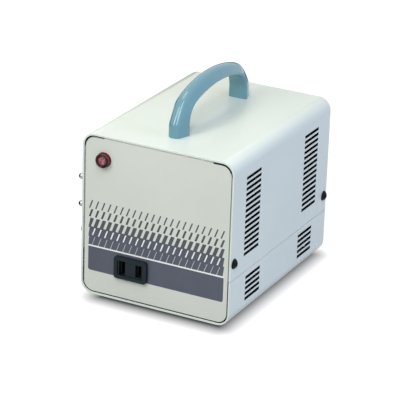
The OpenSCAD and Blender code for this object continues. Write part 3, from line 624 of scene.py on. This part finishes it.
def grip_depth(foot, angle):
    """Thickness of the grip where its arch has turned by an angle: it grows late and evens out at the leg."""
    turned = abs(angle) / (math.pi / 2)
    return GRIP_TOP + (foot - GRIP_TOP) * (1 - (1 - turned ** GRIP_TAPER) ** GRIP_EASE)


def make_handle(material):
    """Carry handle: its section carried along the arch."""
    low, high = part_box("handle")
    width = high.x - low.x
    foot = (high.y - low.y - GRIP_SPAN) / 2
    middle = (low.y + high.y) / 2
    bm = bmesh.new()
    rings = []
    for along, up, angle in grip_stations():
        section = grip_section(grip_depth(foot, angle), width)
        out_y, out_z = math.sin(angle), math.cos(angle)
        points = [(x, middle + along + v * out_y, low.z + up + v * out_z) for x, v in section]
        rings.append([bm.verts.new(point) for point in points])
    for first, second in zip(rings, rings[1:]):
        for j in range(len(first)):
            k = (j + 1) % len(first)
            bm.faces.new((first[j], second[j], second[k], first[k]))
    bm.faces.new(rings[0])
    bm.faces.new(reversed(rings[-1]))
    bmesh.ops.recalc_face_normals(bm, faces=bm.faces)
    mesh = bpy.data.meshes.new("carry_grip")
    bm.to_mesh(mesh)
    bm.free()
    mesh.shade_smooth()
    mesh.set_sharp_from_angle(angle=EDGE_ANGLE)
    obj = piece("carry_grip", mesh, material)
    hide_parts("handle")


def prisms(name, outlines, face_y, thickness):
    """Thin closed plates with the given (x, z) outlines, standing in front of the plane y = face_y."""
    bm = bmesh.new()
    for outline in outlines:
        back = [bm.verts.new((x, face_y, z)) for x, z in outline]
        front = [bm.verts.new((x, face_y - thickness, z)) for x, z in outline]
        bm.faces.new(front)
        bm.faces.new(reversed(back))
        for i in range(len(outline)):
            j = (i + 1) % len(outline)
            bm.faces.new((front[j], front[i], back[i], back[j]))
    bmesh.ops.recalc_face_normals(bm, faces=bm.faces)
    mesh = bpy.data.meshes.new(name)
    bm.to_mesh(mesh)
    bm.free()
    return mesh


def strip(top, bottom):
    """Outline over the whole width of the print."""
    return [(-INK_EDGE, bottom), (INK_EDGE, bottom), (INK_EDGE, top), (-INK_EDGE, top)]


def dash(column, top, bottom, share):
    """One slanted dash, cut off at the edges of the printed field."""
    x_top = DASH_FIRST_X + column * DASH_PITCH
    x_low = x_top - DASH_SLANT * (top - bottom)
    half = share * DASH_PITCH / 2
    corners = [(x_low - half, bottom), (x_low + half, bottom), (x_top + half, top), (x_top - half, top)]
    return [(min(max(x, -INK_EDGE), INK_EDGE), z) for x, z in corners]


def band_end(side, inner, top, bottom):
    """Part of the solid band from an inner edge out to one end, where its lower corner is rounded."""
    corner = []
    for k in range(CORNER_POINTS + 1):
        a = math.radians(90 * k / CORNER_POINTS)
        across = INK_EDGE - BAND_R * (1 - math.sin(a))
        corner.append((side * across, bottom + BAND_R * (1 - math.cos(a))))
    return [(inner, top), (inner, bottom)] + corner + [(side * INK_EDGE, top)]


def band_outlines():
    """The solid band, left open where the outlet sits in the panel."""
    top, bottom = BAND_Z
    left, right = outlet_low.x + BAND_UNDER, outlet_high.x - BAND_UNDER
    sill = outlet_high.z - tray_low.z - BAND_UNDER
    bridge = [(left, sill), (right, sill), (right, top), (left, top)]
    return [band_end(-1, left, top, bottom), bridge, band_end(1, right, top, bottom)]


def make_ink(name, outlines, material):
    """Inked areas on the face of the front panel, their outlines measured from the underside of the case."""
    raised = [[(x, z + tray_low.z) for x, z in outline] for outline in outlines]
    piece(name, prisms(name, raised, panel_low.y, INK_T), material)


def make_print():
    """Dark dashes that thicken into a solid band, and in white a line and the gaps of one row."""
    dark = [dash(i, *row) for row in DASH_ROWS for i in range(DASH_COUNT)]
    dark += [strip(*z) for z in FIELD_STRIPS]
    dark += band_outlines()
    make_ink("panel_print", dark, dark_ink())
    top, bottom, share = WHITE_ROW
    white = [strip(*LINE_Z)]
    white += [dash(i + 0.5, top, bottom, 1 - share) for i in range(DASH_COUNT - 1)]
    make_ink("panel_line", white, white_ink())


def loft(bm, first, second, material):
    """Smooth band between two rings with as many points."""
    for k in range(len(first)):
        n = (k + 1) % len(first)
        face = bm.faces.new((first[k], first[n], second[n], second[k]))
        face.material_index = material
        face.smooth = True


def fan(bm, edge, tips, material):
    """Facets from a round edge in to fewer tips."""
    per = len(edge) // len(tips)
    for k, tip in enumerate(tips):
        begin = k * per - per // 2
        arc = [edge[j % len(edge)] for j in range(begin, begin + per + 1)]
        for first, second in zip(arc, arc[1:]):
            bm.faces.new((first, second, tip)).material_index = material
        after = tips[(k + 1) % len(tips)]
        bm.faces.new((tip, arc[-1], after)).material_index = material


def zigzag(bm, first, second, material):
    """Facets between two rings, the second turned half a step on."""
    for k in range(len(first)):
        n = (k + 1) % len(first)
        bm.faces.new((first[k], first[n], second[k])).material_index = material
        bm.faces.new((second[k], first[n], second[n])).material_index = material


def make_lens(material):
    """Clear cap: a round wall, a rim with painted shade, and a front cut in rings of facets with painted
    light.
    """
    low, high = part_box("lamp_lens")
    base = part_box("lamp_bezel")[0].y
    centre = (low + high) / 2
    radius = (high.z - low.z) / 2
    height = base - low.y
    bm = bmesh.new()

    def ring(step, count, turn=0.0):
        rise, share = step
        angles = [2 * math.pi * (k + turn) / count for k in range(count)]
        return [bm.verts.new((centre.x + radius * share * math.cos(a), base - height * rise,
                              centre.z + radius * share * math.sin(a))) for a in angles]

    bands = [ring(step, LENS_ROUND) for step in LENS_BANDS]
    for i, (first, second) in enumerate(zip(bands, bands[1:])):
        loft(bm, first, second, LENS_WALL if i == 0 else LENS_RIM)
    girdle = ring(LENS_GIRDLE, LENS_SIDES)
    table = ring(LENS_TABLE, LENS_SIDES, turn=0.5)
    fan(bm, bands[-1], girdle, LENS_WALL)
    zigzag(bm, girdle, table, LENS_CUT)
    bm.faces.new(table).material_index = LENS_CUT
    bm.faces.new(bands[0])
    bmesh.ops.recalc_face_normals(bm, faces=bm.faces)
    mesh = bpy.data.meshes.new("cut_lens")
    bm.to_mesh(mesh)
    bm.free()
    obj = piece("cut_lens", mesh, material)
    mesh.materials.append(lens_shaded_rim())
    mesh.materials.append(lens_lit_facets())
    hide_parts("lamp_lens")


# Stage

def make_camera():
    """Camera without lens shift, turned by yaw to the left, pitch down and roll."""
    yaw, pitch, roll = (math.radians(a) for a in (CAMERA_YAW, CAMERA_PITCH, CAMERA_ROLL))
    ahead = Vector((-math.sin(yaw) * math.cos(pitch), math.cos(yaw) * math.cos(pitch), -math.sin(pitch)))
    level = Vector((math.cos(yaw), math.sin(yaw), 0))
    up = level.cross(ahead)
    right = math.cos(roll) * level + math.sin(roll) * up
    top = math.cos(roll) * up - math.sin(roll) * level
    turn = Matrix((right, top, -ahead)).transposed().to_4x4()
    data = bpy.data.cameras.new("camera")
    data.sensor_width = SENSOR_MM
    data.lens = FOCAL_PX / IMAGE_PX * SENSOR_MM
    data.clip_end = CAMERA_REACH
    obj = bpy.data.objects.new("camera", data)
    obj.matrix_world = Matrix.Translation(CAMERA_PLACE) @ turn
    bpy.context.scene.collection.objects.link(obj)
    bpy.context.scene.camera = obj


def seen_directly(tree):
    """1 for rays from the camera, in reflections and through glass, 0 for light that falls on the object."""
    path = tree.nodes.new("ShaderNodeLightPath")
    seen = path.outputs["Is Camera Ray"]
    for ray in ("Is Glossy Ray", "Is Transmission Ray"):
        seen = math_node(tree, "MAXIMUM", seen, path.outputs[ray])
    return seen


def from_footprint(tree):
    """Distance over the floor from an outline inside the case's."""
    half = ((tray_high - tray_low) / 2).to_2d() - FOOT_INSET
    return outside(tree, (CASE_MIDDLE.x + FOOT_ASIDE, CASE_MIDDLE.y, 0), (half.x, half.y, WIDE))


def make_floor():
    """Pale floor, white where it is seen but for a painted shadow close to the case."""
    mesh = bpy.data.meshes.new("floor")
    corners = [(-FLOOR_HALF, -FLOOR_HALF, 0), (FLOOR_HALF, -FLOOR_HALF, 0),
               (FLOOR_HALF, FLOOR_HALF, 0), (-FLOOR_HALF, FLOOR_HALF, 0)]
    mesh.from_pydata(corners, [], [(0, 1, 2, 3)])
    mat = bpy.data.materials.new("floor")
    mat.use_nodes = True
    tree = mat.node_tree
    shader = tree.nodes["Principled BSDF"]
    seen = seen_directly(tree)
    tree.links.new(mix_colour(tree, seen, FLOOR_BOUNCE, FLOOR_SEEN), shader.inputs["Base Color"])
    shader.inputs["Roughness"].default_value = FLOOR_ROUGH
    shader.inputs["Specular IOR Level"].default_value = FLOOR_GLOSS
    shader.inputs["Emission Color"].default_value = WHITE
    # A weaker glow close to the case paints its shadow on the floor
    glow = spread(tree, from_footprint(tree), FLOOR_SHADE, 1.0, *FLOOR_FADE)
    tree.links.new(math_node(tree, "MULTIPLY", seen, glow), shader.inputs["Emission Strength"])
    mesh.materials.append(mat)
    obj = bpy.data.objects.new("floor", mesh)
    bpy.context.scene.collection.objects.link(obj)


def make_card():
    """Dark card behind the object, which draws its outlines as a dark studio does."""
    start, stop = CARD_ARC
    turns = [math.radians(start + (stop - start) * k / CARD_STEPS) for k in range(CARD_STEPS + 1)]
    arc = [(CARD_RADIUS * math.cos(a), CARD_RADIUS * math.sin(a)) for a in turns]
    corners = [(x, y, z) for z in (0.0, CARD_HEIGHT) for x, y in arc]
    row = len(turns)
    mesh = bpy.data.meshes.new("card")
    mesh.from_pydata(corners, [], [(k, k + 1, row + k + 1, row + k) for k in range(CARD_STEPS)])
    mat = bpy.data.materials.new("card")
    mat.use_nodes = True
    mat.node_tree.nodes["Principled BSDF"].inputs["Base Color"].default_value = CARD_COLOUR
    mesh.materials.append(mat)
    obj = bpy.data.objects.new("card", mesh)
    bpy.context.scene.collection.objects.link(obj)
    obj.visible_camera = False
    obj.visible_diffuse = False
    obj.visible_shadow = False
    obj.visible_transmission = False


def make_world():
    """Soft light, and plain white where the camera or a reflection sees past the floor."""
    world = bpy.data.worlds.new("studio")
    bpy.context.scene.world = world
    world.use_nodes = True
    tree = world.node_tree
    light = tree.nodes["Background"]
    light.inputs["Color"].default_value = SKY_COLOUR
    light.inputs["Strength"].default_value = SKY_LIGHT
    white = add(tree, "ShaderNodeBackground", Color=WHITE, Strength=1.0)
    mix = tree.nodes.new("ShaderNodeMixShader")
    tree.links.new(seen_directly(tree), mix.inputs["Fac"])
    tree.links.new(light.outputs[0], mix.inputs[1])
    tree.links.new(white.outputs[0], mix.inputs[2])
    tree.links.new(mix.outputs[0], tree.nodes["World Output"].inputs["Surface"])


def make_lamps():
    """Soft area lamps."""
    for name, (where, aim, size, power, colour) in LAMPS.items():
        data = bpy.data.lights.new(name, "AREA")
        data.shape = "RECTANGLE"
        data.size, data.size_y = size
        data.energy = power
        data.color = colour
        obj = bpy.data.objects.new(name, data)
        obj.location = where
        obj.visible_glossy = name not in MATT_LAMPS
        obj.rotation_euler = (Vector(aim) - Vector(where)).to_track_quat("-Z", "Y").to_euler()
        bpy.context.scene.collection.objects.link(obj)


make_camera()
finishes = {slot: build() for slot, build in FINISHES.items()}
dress_nodes(finishes)
make_handle(finishes["handle_plastic"])
make_print()
make_lens(finishes["red_lens"])
make_floor()
make_card()
make_world()
make_lamps()
bpy.context.scene.view_settings.view_transform = "Standard"
